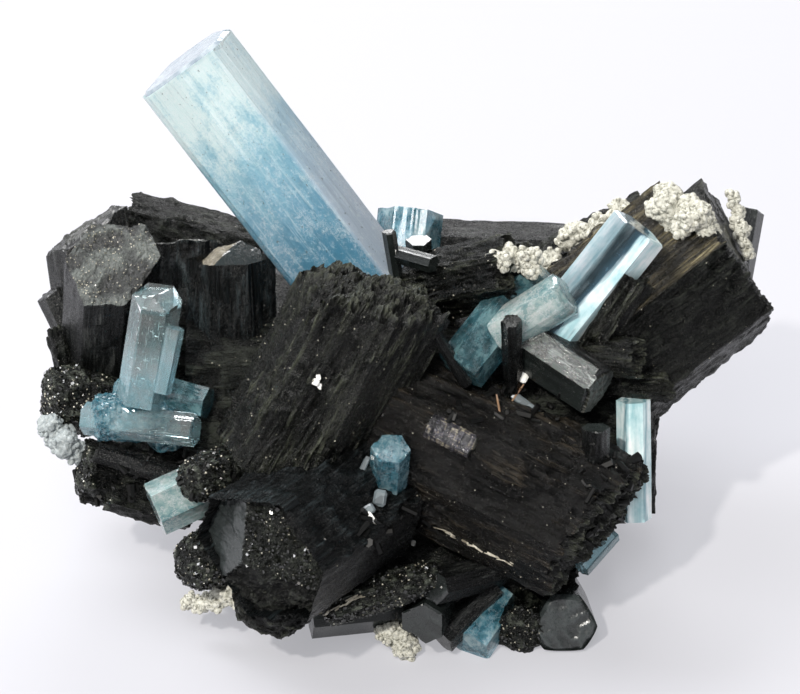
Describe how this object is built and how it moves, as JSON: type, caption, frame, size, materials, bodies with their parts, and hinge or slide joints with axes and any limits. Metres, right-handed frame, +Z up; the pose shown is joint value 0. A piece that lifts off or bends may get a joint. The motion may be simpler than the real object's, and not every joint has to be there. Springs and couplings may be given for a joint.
{
  "type": "aquamarine and black tourmaline crystal specimen",
  "caption": "Cabinet mineral specimen: pale blue aquamarine prisms standing in a radiating cluster of black tourmaline prisms, with white crusts, trimmed flat underneath to stand on a shelf",
  "frame": {"origin": "centre of the box's underside, on the shelf that the specimen stands on", "axes": "+X to the right along the specimen's length, +Z up, the display side faces -Y"},
  "size_m": [0.1036, 0.0778, 0.0739],
  "materials": {
    "schorl": "satin",
    "aquamarine": "gloss",
    "crust": "matte"
  },
  "bodies": {
    "root": {"schorl_cluster": "schorl", "aquamarine_main": "aquamarine", "aquamarine_left_group": "aquamarine", "aquamarine_lower_left": "aquamarine", "aquamarine_centre": "aquamarine", "aquamarine_right_slender": "aquamarine", "aquamarine_right_group": "aquamarine", "aquamarine_under_right": "aquamarine", "aquamarine_back": "aquamarine", "aquamarine_foot": "aquamarine", "crust_right_top": "crust", "crust_right_edge": "crust", "crust_back": "crust", "crust_centre": "crust", "crust_bottom": "crust", "crust_lower_left": "crust", "feldspar_left": "crust"}
  },
  "joints": []
}
